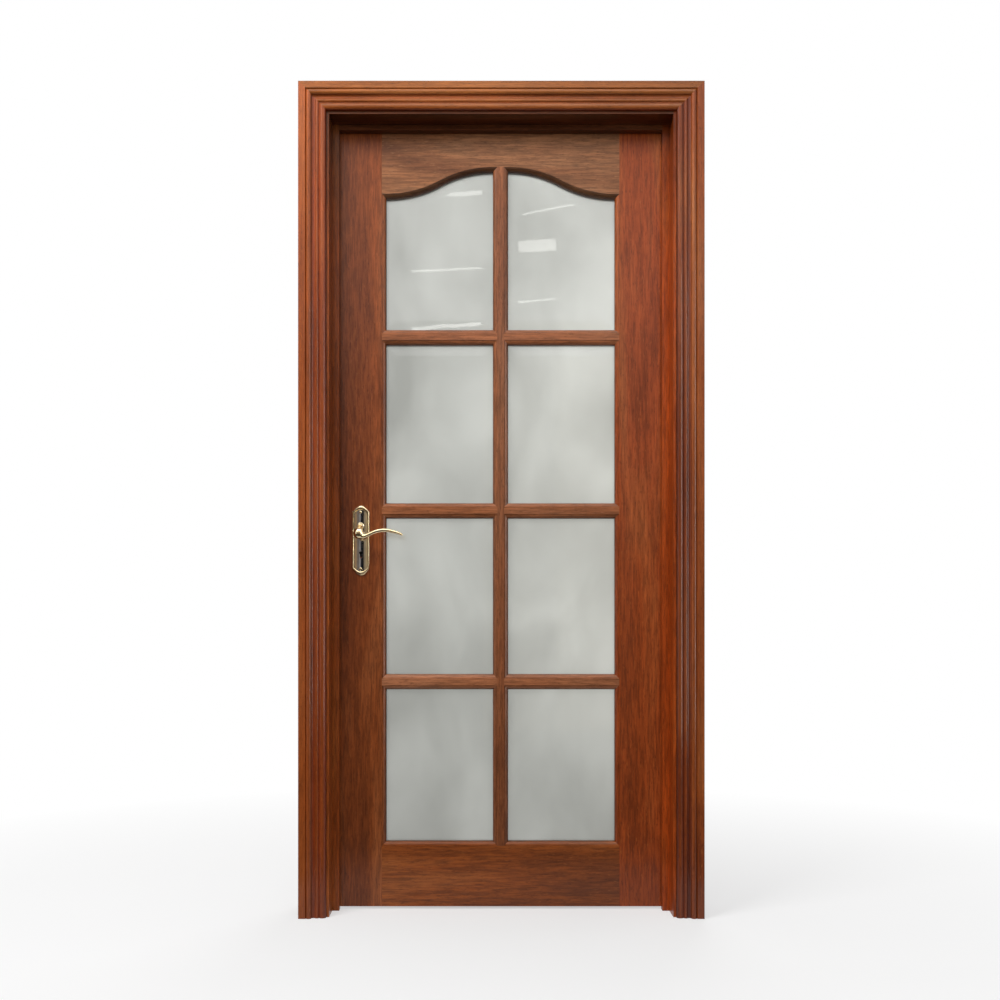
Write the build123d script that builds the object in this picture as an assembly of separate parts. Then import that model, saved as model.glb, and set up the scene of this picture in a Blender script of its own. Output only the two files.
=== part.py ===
from build123d import *
import math
import os

# A glazed wooden door in its frame. X runs across the door, Y through the wall, Z up.
# The origin is on the outer face of the hinge jamb, at floor level, in the middle of the wall.
# Below, every piece is drawn about the middle of the opening and then moved across.

# Frame
rebate_width = 876
rebate_height = 2043
wall_depth = 130
jamb_thickness = 32
reveal = 7
casing_width = 69
casing_thickness = 20
casing_relief = 2
relief_width = 8
stop_thickness = 18
head_stop_thickness = 14
stop_depth = 22

# Leaf
leaf_thickness = 40
floor_gap = 6
head_gap = 5
hinge_gap = 5
lock_gap = 6.5
stop_gap = 2
stile_and_gap = 127
bottom_rail_height = 158
top_rail_height = 166
arch_rise = 70.5

# Moulding round every pane, and the bars between the panes
mould_width = 11
quirk = 2
bar_flat = 18
bar_names = ("high", "mid", "low")
bar_shares = (0.781, 0.5145, 0.2515)

# Glass in its grooves
glass_thickness = 4
glass_clearance = 0.3
glass_cover = 8
groove_depth = 9

# Lever handle and its plates; heights on the plate are from the lever's axis
backset = 65.5
handle_z = 1002
keyhole_drop = 70.5
plate_width = 43
plate_thickness = 5
plate_body_top = 32.5
plate_body_bottom = 112
plate_crown = 21
plate_point = 17
plate_ear = 1.5
plate_shoulder = 5
plate_rim = 4
panel_arch = 12.5
panel_foot = 10
panel_thickness = 1.2
panel_swell = 1.5
neck_radius = 7
collar_radius = 9
collar_length = 14
hub_radius = 11
hub_drop = 22
hub_lean = 1.5
lever_reach = 50
arm_length = 113
arm_dip = 8
arm_rise = 7
arm_tip_drop = 4.5
arm_height = 12.5
arm_tip_height = 7.5
arm_flatness = 0.84
arm_return = 6
running_gap = 0.06
spindle_side = 8
spindle_grip = 20

# Lock edge
forend_length = 200
forend_width = 22
forend_thickness = 3
latch_height = 18
bolt_height = 30
bolt_width = 12
bolt_depth = 16
bolt_clearance = 0.3
strike_thickness = 2
strike_pocket = 12

# Hinges
hinge_length = 100
hinge_plate_depth = 32
hinge_plate_thickness = 3
hinge_offset = 7
knuckle_radius = 6.5
pin_radius = 3
pin_clearance = 0.05
knuckle_gap = 0.4
knuckles = 3
hinge_from_end = 248

front = -wall_depth / 2
back = wall_depth / 2
leaf_back = back
leaf_front = back - leaf_thickness
leaf_top = rebate_height - head_gap
jamb_x = rebate_width / 2
leaf_lock_edge = -jamb_x + lock_gap
leaf_hinge_edge = jamb_x - hinge_gap
mould_depth = mould_width + quirk
stile_flat_edge = jamb_x - stile_and_gap
stile_sight = stile_flat_edge - mould_width
bar_sight = bar_flat / 2 + mould_width
bottom_rail_flat_edge = floor_gap + bottom_rail_height
bottom_sight = bottom_rail_flat_edge + mould_width
arch_spring = leaf_top - top_rail_height
arch_crown = arch_spring + arch_rise
arch_straight = bar_sight
bar_centres = [bottom_rail_flat_edge + share * (arch_spring - bottom_rail_flat_edge) for share in bar_shares]
handle_x = leaf_lock_edge + backset
low_hinge = floor_gap + hinge_from_end
high_hinge = leaf_top - hinge_from_end
hinge_heights = {"low": low_hinge, "mid": (low_hinge + high_hinge) / 2, "high": high_hinge}
glass_y = (leaf_front + leaf_back) / 2
pin_x = jamb_x - hinge_gap / 2
pin_y = back + hinge_offset
to_origin = Pos(-jamb_x - jamb_thickness, 0, 0)


def save(name, piece):
    """Writes one piece, moved to the door's origin."""
    export_step(to_origin * piece, f"parts/{name}.step")


def block(x_range, y_range, z_range):
    """A square-edged block between two corners."""
    size = [r[1] - r[0] for r in (x_range, y_range, z_range)]
    centre = [(r[1] + r[0]) / 2 for r in (x_range, y_range, z_range)]
    return Pos(*centre) * Box(*size)


def facing(near):
    """A drawing plane across the wall, seen from the front: x is X and y is Z."""
    return Plane((0, near, 0), x_dir=(1, 0, 0), z_dir=(0, -1, 0))


def slab(outline, near, far):
    """A flat piece with its outline in X and Z, from y near to y far."""
    return extrude(facing(near) * make_face(outline), amount=near - far)


def polygon_slab(points, near, far):
    return slab(Polyline(*points, close=True), near, far)


# Casings: one moulded section, mitred at the head, the same on both faces of the wall
def casing_section():
    """x runs outwards from the inner edge, y out from the wall."""
    w, t = casing_width, casing_thickness
    jamb_edge = jamb_thickness - reveal
    relief = [(jamb_edge + relief_width, 0), (jamb_edge + relief_width, casing_relief)]
    relief += [(jamb_edge, casing_relief), (jamb_edge, 0)]
    return make_face([
        Polyline((0, 0), (0, 0.3 * t)),
        ThreePointArc((0, 0.3 * t), (8, 0.67 * t), (16.5, 0.5 * t)),
        Polyline((16.5, 0.5 * t), (18, 0.5 * t)),
        ThreePointArc((18, 0.5 * t), (22.5, 0.68 * t), (27.5, 0.54 * t)),
        ThreePointArc((27.5, 0.54 * t), (32, 0.51 * t), (36, 0.64 * t)),
        ThreePointArc((36, 0.64 * t), (42.5, t), (49.5, 0.76 * t)),
        Polyline((49.5, 0.76 * t), (51.5, 0.95 * t), (w - 1, 0.95 * t), (w, 0.9 * t)),
        Polyline((w, 0.9 * t), (w, 0), *relief, (0, 0)),
    ])


def front_casings():
    inner_x = jamb_x + reveal
    inner_z = rebate_height + reveal
    outer_x = inner_x + casing_width
    outer_z = inner_z + casing_width
    reach = (front - casing_thickness, front)
    leg_plane = Plane((inner_x, front, 0), x_dir=(1, 0, 0), z_dir=(0, 0, -1))
    leg = extrude(leg_plane * casing_section(), amount=-outer_z)
    leg = leg & polygon_slab([(inner_x, 0), (outer_x, 0), (outer_x, outer_z), (inner_x, inner_z)], *reach)
    head_plane = Plane((-outer_x, front, inner_z), x_dir=(0, 0, 1), z_dir=(1, 0, 0))
    head = extrude(head_plane * casing_section(), amount=2 * outer_x)
    mitres = [(-inner_x, inner_z), (-outer_x, outer_z), (outer_x, outer_z), (inner_x, inner_z)]
    head = head & polygon_slab(mitres, *reach)
    return {"lock": mirror(leg, about=Plane.YZ), "hinge": leg, "head": head}


# Jambs and stops
def strike_openings(depth):
    """What the two bolts go through, from the face of the lock jamb."""
    top = handle_z + latch_height / 2 + 2
    low = handle_z - keyhole_drop + bolt_height / 2 + 2
    y_range = (glass_y - bolt_width / 2 - 2, glass_y + bolt_width / 2 + 2)
    x_range = (-jamb_x - depth, -jamb_x)
    latch = block(x_range, y_range, (top - latch_height - 4, top))
    return latch + block(x_range, y_range, (low - bolt_height - 4, low))


def strike_blank():
    middle = handle_z - keyhole_drop / 2
    y_range = (glass_y - forend_width / 2, glass_y + forend_width / 2)
    z_range = (middle - forend_length * 0.4, middle + forend_length * 0.4)
    return block((-jamb_x - strike_thickness, -jamb_x), y_range, z_range)


def strike_plate():
    return strike_blank() - strike_openings(strike_thickness)


def jamb_lock():
    top = rebate_height + jamb_thickness
    post = block((-jamb_x - jamb_thickness, -jamb_x), (front, back), (0, top))
    return post - strike_blank() - strike_openings(strike_pocket)


def jamb_hinge():
    top = rebate_height + jamb_thickness
    post = block((jamb_x, jamb_x + jamb_thickness), (front, back), (0, top))
    for height in hinge_heights.values():
        post -= hinge_plate(height, jamb_x, 1)
    return post


def jamb_head():
    top = rebate_height + jamb_thickness
    return block((-jamb_x, jamb_x), (front, back), (rebate_height, top))


def stop_range():
    far = leaf_front - stop_gap
    return (far - stop_depth, far)


def stop_hinge():
    return block((jamb_x - stop_thickness, jamb_x), stop_range(), (0, rebate_height))


def stop_head():
    inner = jamb_x - stop_thickness
    return block((-inner, inner), stop_range(), (rebate_height - head_stop_thickness, rebate_height))


# Butt hinges: the pin stands just past the back face of the leaf
def hinge_plate(height, face_x, side):
    """A plate let in flush behind face_x; side is 1 for the jamb and -1 for the leaf."""
    edges = sorted((face_x, face_x + side * hinge_plate_thickness))
    z_range = (height - hinge_length / 2, height + hinge_length / 2)
    return block(edges, (back - hinge_plate_depth, back), z_range)


def hinge_half(height, face_x, side):
    """One plate with its knuckles: the end ones are on the jamb's half, with the pin."""
    half = hinge_plate(height, face_x, side)
    pitch = hinge_length / knuckles
    edges = sorted((face_x, face_x + side * hinge_plate_thickness))
    for i in range(knuckles):
        if (i % 2 == 0) != (side == 1):
            continue
        low = height - hinge_length / 2 + i * pitch + knuckle_gap / 2
        middle = low + (pitch - knuckle_gap) / 2
        tab = block(edges, (back - 1, pin_y), (low, low + pitch - knuckle_gap))
        barrel = Pos(pin_x, pin_y, middle) * Cylinder(knuckle_radius, pitch - knuckle_gap)
        half += tab + barrel
    if side == 1:
        half += Pos(pin_x, pin_y, height) * Cylinder(pin_radius, hinge_length - pitch)
    else:
        half -= Pos(pin_x, pin_y, height) * Cylinder(pin_radius + pin_clearance, hinge_length + 2)
    return half


# Openings in the leaf: each edge has a quirk and a quarter round on both faces, and a groove for glass
def edge_section(reach):
    """Across one edge of an opening: x is the door's Y, y runs outwards from the sight line."""
    spare = 1
    w, d = mould_width, mould_depth
    bulge = w / math.sqrt(2)
    groove = glass_thickness / 2 + glass_clearance
    return make_face([
        Polyline(
            (leaf_front + d, 0), (glass_y - groove, 0), (glass_y - groove, groove_depth),
            (glass_y + groove, groove_depth), (glass_y + groove, 0), (leaf_back - d, 0),
        ),
        ThreePointArc((leaf_back - d, 0), (leaf_back - d + bulge, w - bulge), (leaf_back - quirk, w)),
        Polyline(
            (leaf_back - quirk, w), (leaf_back + spare, w), (leaf_back + spare, -reach),
            (leaf_front - spare, -reach), (leaf_front - spare, w), (leaf_front + quirk, w),
        ),
        ThreePointArc((leaf_front + quirk, w), (leaf_front + d - bulge, w - bulge), (leaf_front + d, 0)),
    ])


def run_of_edge(start, outward, along, reach, length):
    """A straight opening edge from start, its moulding towards outward."""
    y_sign = Vector(0, 1, 0).cross(Vector(*outward))
    plane = Plane(start, x_dir=(0, 1, 0), z_dir=tuple(y_sign))
    amount = length if y_sign.dot(Vector(*along)) > 0 else -length
    return extrude(plane * edge_section(reach), amount=amount)


def column_cut(x_low, x_high):
    """The opening between two uprights."""
    reach = (x_high - x_low) / 2
    low_side = run_of_edge((x_low, 0, 0), (-1, 0, 0), (0, 0, 1), reach, leaf_top)
    high_side = run_of_edge((x_high, 0, 0), (1, 0, 0), (0, 0, 1), reach, leaf_top)
    return low_side + high_side


def row_cut(z_low, z_high):
    """The opening between two level members."""
    reach = (z_high - z_low) / 2
    span = 2 * jamb_x
    low_side = run_of_edge((-jamb_x, 0, z_low), (0, 0, -1), (1, 0, 0), reach, span)
    high_side = run_of_edge((-jamb_x, 0, z_high), (0, 0, 1), (1, 0, 0), reach, span)
    return low_side + high_side


def arch_curve(drop):
    """The arch's S-curves from side to side, a distance drop below the rail's flat edge."""
    run = stile_sight - arch_straight
    radius = (run**2 + arch_rise**2) / (4 * arch_rise)
    turn = math.asin(run / 2 / radius)
    hollow, crown = radius + drop, radius - drop
    low, high = arch_spring - drop, arch_crown - drop

    def on_hollow(angle):
        return (stile_sight - hollow * math.sin(angle), low + hollow * (1 - math.cos(angle)))

    def left(point):
        return (-point[0], point[1])

    end, foot, top = (jamb_x, low), (stile_sight, low), (arch_straight, high)
    hollow_middle, meeting = on_hollow(turn / 2), on_hollow(turn)
    crown_middle = (arch_straight + crown * math.sin(turn / 2), high - crown * (1 - math.cos(turn / 2)))
    return [
        Line(left(end), left(foot)),
        ThreePointArc(left(foot), left(hollow_middle), left(meeting)),
        ThreePointArc(left(meeting), left(crown_middle), left(top)),
        Line(left(top), top),
        ThreePointArc(top, crown_middle, meeting),
        ThreePointArc(meeting, hollow_middle, foot),
        Line(foot, end),
    ]


def arch_cut():
    """Everything below the arched top rail, with the moulding running along its S-curves."""
    strip = 25
    path = Wire([Plane.XZ * edge for edge in arch_curve(mould_width)])
    start = Plane((-jamb_x, 0, arch_spring - mould_width), x_dir=(0, 1, 0), z_dir=(1, 0, 0))
    edge = sweep(start * edge_section(strip), path=path)
    top = arch_curve(mould_width + strip / 2)
    level = arch_spring - mould_width - strip / 2
    floor = bar_centres[0] - bar_sight
    sides = Polyline((jamb_x, level), (jamb_x, floor), (-jamb_x, floor), (-jamb_x, level))
    core = slab([*top, sides], leaf_front - 1, leaf_back + 1)
    return edge + core


def pane_levels():
    """The sight lines below and above each row of panes but the arched one."""
    lows = [c + bar_sight for c in bar_centres] + [bottom_sight]
    highs = [None] + [c - bar_sight for c in bar_centres]
    return list(zip(lows, highs))


def opening_cuts():
    """The four openings on the lock side, from the arched one down."""
    column = column_cut(-stile_sight, -bar_sight)
    low, high = pane_levels()[0][0], leaf_top
    arched = column & arch_cut() & row_cut(low, low + 2 * (high - low))
    return [arched] + [column & row_cut(low, high) for low, high in pane_levels()[1:]]


def pane(level):
    """One pane of glass, its edges set in the grooves."""
    x_range = (-stile_sight - glass_cover, -bar_sight + glass_cover)
    y_range = (glass_y - glass_thickness / 2, glass_y + glass_thickness / 2)
    low, high = level
    if high is not None:
        return block(x_range, y_range, (low - glass_cover, high + glass_cover))
    top = arch_curve(mould_width - glass_cover)
    level = arch_spring - mould_width + glass_cover
    sides = Polyline((jamb_x, level), (jamb_x, low - glass_cover), (-jamb_x, low - glass_cover), (-jamb_x, level))
    tall = slab([*top, sides], *y_range)
    return tall & block(x_range, y_range, (low - glass_cover, leaf_top))


# Leaf members: their moulded edges meet in mitres
def mitred_side(flat_x, sight_x, top):
    """Down one upright's edge from the top rail, with a notch for each level member."""
    points = [(flat_x, top), (sight_x, top - mould_width)]
    for c in bar_centres:
        points += [(sight_x, c + bar_sight), (flat_x, c + bar_flat / 2)]
        points += [(flat_x, c - bar_flat / 2), (sight_x, c - bar_sight)]
    return points + [(sight_x, bottom_sight), (flat_x, bottom_rail_flat_edge)]


def stile(outer_x, side, cuts):
    inner = mitred_side(side * stile_flat_edge, side * stile_sight, arch_spring)
    flat_x = side * stile_flat_edge
    outline = [(outer_x, leaf_top), (flat_x, leaf_top), *inner, (flat_x, floor_gap), (outer_x, floor_gap)]
    piece = polygon_slab(outline, leaf_front, leaf_back)
    for cut in cuts:
        piece -= cut
    return piece


def stile_lock(cuts):
    piece = stile(leaf_lock_edge, -1, cuts)
    bore = Pos(handle_x, glass_y, handle_z) * Rot(90, 0, 0) * Cylinder(collar_radius + 2, leaf_thickness + 2)
    return piece - bore - forend_blank() - bolt(handle_z, latch_height) - bolt(handle_z - keyhole_drop, bolt_height)


def stile_hinge(cuts):
    piece = stile(leaf_hinge_edge, 1, cuts)
    for height in hinge_heights.values():
        piece -= hinge_plate(height, leaf_hinge_edge, -1)
    return piece


def bar_upright(cuts):
    right = mitred_side(bar_flat / 2, bar_sight, arch_crown)
    left = [(-x, z) for x, z in reversed(right)]
    piece = polygon_slab(right + left, leaf_front, leaf_back)
    for cut in cuts:
        piece -= cut
    return piece


def rail_top(cuts):
    f, s, b = stile_flat_edge, stile_sight, bar_sight
    under = arch_spring - mould_width
    left = [(-f, leaf_top), (-f, arch_spring), (-s, under), (2 * arch_straight - s, under - 8), (-b, under - 8)]
    left += [(-b, arch_crown - mould_width), (-bar_flat / 2, arch_crown)]
    right = [(-x, z) for x, z in reversed(left)]
    piece = polygon_slab(left + right, leaf_front, leaf_back)
    for cut in cuts:
        piece -= cut
    return piece


def rail_bottom(cuts):
    f, s, b = stile_flat_edge, stile_sight, bar_sight
    left = [(-f, floor_gap), (-f, bottom_rail_flat_edge), (-s, bottom_sight), (-b, bottom_sight)]
    left += [(-bar_flat / 2, bottom_rail_flat_edge)]
    right = [(-x, z) for x, z in reversed(left)]
    piece = polygon_slab(left + right, leaf_front, leaf_back)
    for cut in cuts:
        piece -= cut
    return piece


def bar_level(centre, above, below):
    half = bar_flat / 2
    outline = [
        (-stile_flat_edge, centre + half), (-stile_sight, centre + bar_sight),
        (-bar_sight, centre + bar_sight), (-half, centre + half),
        (-half, centre - half), (-bar_sight, centre - bar_sight),
        (-stile_sight, centre - bar_sight), (-stile_flat_edge, centre - half),
    ]
    return polygon_slab(outline, leaf_front, leaf_back) - above - below


# Lock edge
def forend_blank():
    middle = handle_z - keyhole_drop / 2
    y_range = (glass_y - forend_width / 2, glass_y + forend_width / 2)
    z_range = (middle - forend_length / 2, middle + forend_length / 2)
    return block((leaf_lock_edge, leaf_lock_edge + forend_thickness), y_range, z_range)


def bolt(middle, height, clearance=0):
    """A bolt drawn back until its end is flush with the forend."""
    half = bolt_width / 2 + clearance
    z_range = (middle - height / 2 - clearance, middle + height / 2 + clearance)
    return block((leaf_lock_edge, leaf_lock_edge + bolt_depth), (glass_y - half, glass_y + half), z_range)


def lock_forend():
    latch = bolt(handle_z, latch_height, bolt_clearance)
    dead = bolt(handle_z - keyhole_drop, bolt_height, bolt_clearance)
    return forend_blank() - latch - dead


# Handle
def plate_outline():
    """The plate's crown, shoulders, straight sides and point."""
    half = plate_width / 2
    top, low = plate_body_top, -plate_body_bottom
    shoulder = half - plate_shoulder
    tip = half / 2
    tip_low = low - plate_point * 0.8
    right = [(tip, tip_low), (half, low), (half, top), (shoulder, top + 2 * plate_shoulder)]
    left = [(-x, z) for x, z in reversed(right)]
    return make_face([
        Polyline(*right),
        ThreePointArc(right[-1], (0, top + plate_crown), left[0]),
        Polyline(*left),
        ThreePointArc(left[-1], (0, low - plate_point), right[0]),
    ])


def plate_ears():
    """The two small points at the ends of the crown."""
    half, rise = plate_width / 2, plate_shoulder
    top = plate_body_top
    tip = (half + plate_ear, top + rise)
    right = make_face(Polyline((half - rise, top), tip, (half - rise, top + 2 * rise), close=True))
    return right + mirror(right, about=Plane.YZ)


def panel_outline():
    """The panel's straight sides, arched top and arched foot."""
    half = plate_width / 2 - plate_rim
    top, low = plate_body_top - plate_rim, plate_rim / 2 - plate_body_bottom
    return make_face([
        Line((half, low), (half, top)),
        ThreePointArc((half, top), (0, top + panel_arch), (-half, top)),
        Line((-half, top), (-half, low)),
        ThreePointArc((-half, low), (0, low - panel_foot), (half, low)),
    ])


def keyhole(depth):
    """A round hole over a slot."""
    hole = Cylinder(4, depth) + Pos(0, -7, 0) * Box(4, 14, depth)
    return Pos(0, -keyhole_drop, 0) * hole


def handle_at(piece):
    """Stands a piece drawn flat, its face up, on the front of the lock stile."""
    return Plane((handle_x, leaf_front, handle_z), x_dir=(1, 0, 0), z_dir=(0, -1, 0)) * piece


def holes_for_neck_and_key():
    deep = 4 * plate_thickness
    return Cylinder(collar_radius + running_gap, deep) + keyhole(deep)


def plate_front():
    bevel = plate_rim / 3
    plate = extrude(plate_outline(), amount=plate_thickness - bevel)
    plate += Pos(0, 0, plate_thickness - bevel) * extrude(plate_outline(), amount=bevel, taper=45)
    plate += extrude(plate_ears(), amount=plate_thickness - 2 * bevel)
    pocket = extrude(panel_outline(), amount=plate_thickness)
    plate -= Pos(0, 0, plate_thickness - panel_thickness - 1) * pocket
    return handle_at(plate - holes_for_neck_and_key())


def panel_front():
    """A strip let into the plate, its face swelling to the middle."""
    half = plate_width / 2 - plate_rim
    radius = (half**2 + panel_swell**2) / (2 * panel_swell)
    top = panel_thickness + panel_swell
    panel = extrude(offset(panel_outline(), amount=-0.1), amount=top)
    panel &= Pos(0, 0, top - radius) * Rot(90, 0, 0) * Cylinder(radius, 4 * plate_body_bottom)
    panel = Pos(0, 0, plate_thickness - panel_thickness - 1) * panel
    return handle_at(panel - holes_for_neck_and_key())


def rounded_run(stations):
    """A run of oval sections: each station is its middle, depth and height, its plane square to the run."""
    middles = [Vector(*station[:3]) for station in stations]
    sections = []
    for i, (x, y, z, depth, height) in enumerate(stations):
        along = middles[min(i + 1, len(middles) - 1)] - middles[max(i - 1, 0)]
        across = Vector(0, 0, 1) if abs(along.Z) < abs(along.X) else Vector(1, 0, 0)
        plane = Plane((x, y, z), x_dir=across.cross(along).cross(along), z_dir=along)
        sections.append(plane * Ellipse(depth, height))
    return loft(sections, ruled=True)


def neck():
    """The collar that turns in the plate, and the neck that swings down from it to the hub."""
    run = lever_reach - collar_length
    stations = []
    for share, out in ((0, 0), (0.2, 0.3), (1, 1)):
        swell = neck_radius + (hub_radius - neck_radius) * share / 2
        stations.append((-hub_lean * share, -hub_drop * share, collar_length + run * out, swell, swell))
    return Pos(0, 0, collar_length / 2) * Cylinder(collar_radius, collar_length) + rounded_run(stations)


def arm():
    """The lever's wave, seen from the front: a dip, a rise and a dipping tip."""
    wave = [(0, 0), (0.15, -arm_dip), (0.32, 0), (0.6, arm_rise), (0.8, arm_rise / 2), (1, -arm_tip_drop)]
    stations = []
    for share, rise in wave:
        height = arm_height + (arm_tip_height - arm_height) * share**2
        depth_from_face = lever_reach - arm_return * share**3
        x = share * arm_length - hub_lean
        stations.append((x, rise - hub_drop, depth_from_face, height / 2, height / 2 * arm_flatness))
    return rounded_run(stations)


def lever_front():
    hub = Pos(-hub_lean, -hub_drop, lever_reach) * Sphere(hub_radius)
    grip = Pos(0, 0, spindle_grip / 2) * Box(spindle_side, spindle_side, spindle_grip)
    return handle_at(neck() + hub + arm() - grip)


def spindle():
    length = leaf_thickness + 2 * spindle_grip
    return Pos(handle_x, glass_y, handle_z) * Box(spindle_side, length, spindle_side)


def to_back(piece):
    """The same piece on the leaf's back face."""
    return mirror(piece, about=Plane((0, glass_y, 0), z_dir=(0, 1, 0)))


def write_frame():
    for side, piece in front_casings().items():
        save(f"casing_front_{side}", piece)
        save(f"casing_back_{side}", mirror(piece, about=Plane.XZ))
    save("jamb_lock", jamb_lock())
    save("jamb_hinge", jamb_hinge())
    save("jamb_head", jamb_head())
    save("stop_lock", mirror(stop_hinge(), about=Plane.YZ))
    save("stop_hinge", stop_hinge())
    save("stop_head", stop_head())
    save("strike_plate", strike_plate())
    for level, height in hinge_heights.items():
        save(f"hinge_{level}_jamb", hinge_half(height, jamb_x, 1))
        save(f"hinge_{level}_leaf", hinge_half(height, leaf_hinge_edge, -1))


def write_leaf():
    cuts = opening_cuts()
    mirrored = [mirror(cut, about=Plane.YZ) for cut in cuts]
    save("stile_lock", stile_lock(cuts))
    save("stile_hinge", stile_hinge(mirrored))
    save("rail_top", rail_top([cuts[0], mirrored[0]]))
    save("rail_bottom", rail_bottom([cuts[-1], mirrored[-1]]))
    save("bar_upright", bar_upright(cuts + mirrored))
    for i, name in enumerate(bar_names):
        piece = bar_level(bar_centres[i], cuts[i], cuts[i + 1])
        save(f"bar_{name}_lock", piece)
        save(f"bar_{name}_hinge", mirror(piece, about=Plane.YZ))
    for name, level in zip(("arched", "upper", "lower", "bottom"), pane_levels()):
        save(f"pane_{name}_lock", pane(level))
        save(f"pane_{name}_hinge", mirror(pane(level), about=Plane.YZ))


def write_lock_and_handle():
    save("lock_forend", lock_forend())
    save("latch_bolt", bolt(handle_z, latch_height))
    save("dead_bolt", bolt(handle_z - keyhole_drop, bolt_height))
    for name, piece in (("plate", plate_front()), ("panel", panel_front()), ("lever", lever_front())):
        save(f"{name}_front", piece)
        save(f"{name}_back", to_back(piece))
    save("spindle", spindle())


os.makedirs("parts", exist_ok=True)
write_frame()
write_leaf()
write_lock_and_handle()
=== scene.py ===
import bpy
import math
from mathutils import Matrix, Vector


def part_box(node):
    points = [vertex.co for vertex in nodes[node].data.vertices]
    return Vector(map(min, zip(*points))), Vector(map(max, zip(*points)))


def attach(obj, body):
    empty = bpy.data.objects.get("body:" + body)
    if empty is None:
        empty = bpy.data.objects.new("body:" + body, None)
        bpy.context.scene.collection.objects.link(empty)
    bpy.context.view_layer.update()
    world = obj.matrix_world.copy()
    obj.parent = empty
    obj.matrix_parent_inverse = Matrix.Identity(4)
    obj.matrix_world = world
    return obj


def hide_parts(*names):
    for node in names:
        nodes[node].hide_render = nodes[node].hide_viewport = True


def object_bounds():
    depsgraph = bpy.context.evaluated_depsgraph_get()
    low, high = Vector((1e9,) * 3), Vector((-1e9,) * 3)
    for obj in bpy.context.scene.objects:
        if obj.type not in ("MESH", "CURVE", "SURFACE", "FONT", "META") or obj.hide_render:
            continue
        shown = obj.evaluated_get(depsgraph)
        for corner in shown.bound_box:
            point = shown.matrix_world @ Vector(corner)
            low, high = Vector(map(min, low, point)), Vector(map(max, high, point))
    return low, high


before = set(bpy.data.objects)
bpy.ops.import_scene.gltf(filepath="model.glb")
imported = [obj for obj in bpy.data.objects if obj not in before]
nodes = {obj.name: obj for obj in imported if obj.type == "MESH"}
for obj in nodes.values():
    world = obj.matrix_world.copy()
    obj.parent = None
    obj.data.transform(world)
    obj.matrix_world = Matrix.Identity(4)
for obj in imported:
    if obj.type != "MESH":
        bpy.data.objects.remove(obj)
cad_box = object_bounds()


# Casings: the moulded boards round the doorway on both faces of the wall, mitred at the head.
# Hardwood, stained orange-brown, with painted shade darkening the quirks and a glossy lacquer on top.
# The grain of each board runs along it.
ALONG_X, ALONG_Z = "x", "z"


def link(tree, a, b):
    tree.links.new(a, b)


def stretched(tree, along, across_scale, along_scale, shift=(0.0, 0.0, 0.0)):
    """Coordinates for a pattern that is drawn out along the board."""
    place = tree.nodes.new("ShaderNodeTexCoord")
    mapping = tree.nodes.new("ShaderNodeMapping")
    scale = [across_scale] * 3
    scale[0 if along == ALONG_X else 2] = along_scale
    mapping.inputs["Scale"].default_value = scale
    mapping.inputs["Location"].default_value = shift
    link(tree, place.outputs["Object"], mapping.inputs["Vector"])
    return mapping.outputs["Vector"]


def position(tree, axis):
    """How far along X, Y or Z a point of the object lies, in metres."""
    place = tree.nodes.new("ShaderNodeTexCoord")
    split = tree.nodes.new("ShaderNodeSeparateXYZ")
    link(tree, place.outputs["Object"], split.inputs["Vector"])
    return split.outputs[axis]


def noise(tree, vector, detail, roughness, distortion=0.0):
    made = tree.nodes.new("ShaderNodeTexNoise")
    made.inputs["Scale"].default_value = 1.0
    made.inputs["Detail"].default_value = detail
    made.inputs["Roughness"].default_value = roughness
    made.inputs["Distortion"].default_value = distortion
    link(tree, vector, made.inputs["Vector"])
    return made.outputs["Fac"]


def ramp(tree, value, stops):
    made = tree.nodes.new("ShaderNodeValToRGB")
    points = made.color_ramp.elements
    while len(points) < len(stops):
        points.new(0.5)
    for point, (at, colour) in zip(points, stops):
        point.position = at
        point.color = (*colour, 1.0)
    link(tree, value, made.inputs["Fac"])
    return made.outputs["Color"]


def mixed(tree, kind, amount, a, b):
    made = tree.nodes.new("ShaderNodeMix")
    made.data_type = "RGBA"
    made.blend_type = kind
    if isinstance(amount, float):
        made.inputs[0].default_value = amount
    else:
        link(tree, amount, made.inputs[0])
    for socket, value in ((made.inputs[6], a), (made.inputs[7], b)):
        if isinstance(value, tuple):
            socket.default_value = (*value, 1.0)
        else:
            link(tree, value, socket)
    return made.outputs[2]


def grey(level):
    return (level, level, level)


def spread(tree, value, low, high, to_low, to_high):
    made = tree.nodes.new("ShaderNodeMapRange")
    link(tree, value, made.inputs["Value"])
    ends = {"From Min": low, "From Max": high, "To Min": to_low, "To Max": to_high}
    for name, number in ends.items():
        made.inputs[name].default_value = number
    return made.outputs["Result"]


def new_material(name):
    material = bpy.data.materials.new(name)
    material.use_nodes = True
    tree = material.node_tree
    tree.nodes.clear()
    out = tree.nodes.new("ShaderNodeOutputMaterial")
    shader = tree.nodes.new("ShaderNodeBsdfPrincipled")
    link(tree, shader.outputs["BSDF"], out.inputs["Surface"])
    return material, tree, shader


def set_bump(tree, height, strength, distance, normal):
    bump = tree.nodes.new("ShaderNodeBump")
    bump.inputs["Strength"].default_value = strength
    bump.inputs["Distance"].default_value = distance
    link(tree, height, bump.inputs["Height"])
    link(tree, bump.outputs["Normal"], normal)


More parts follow.
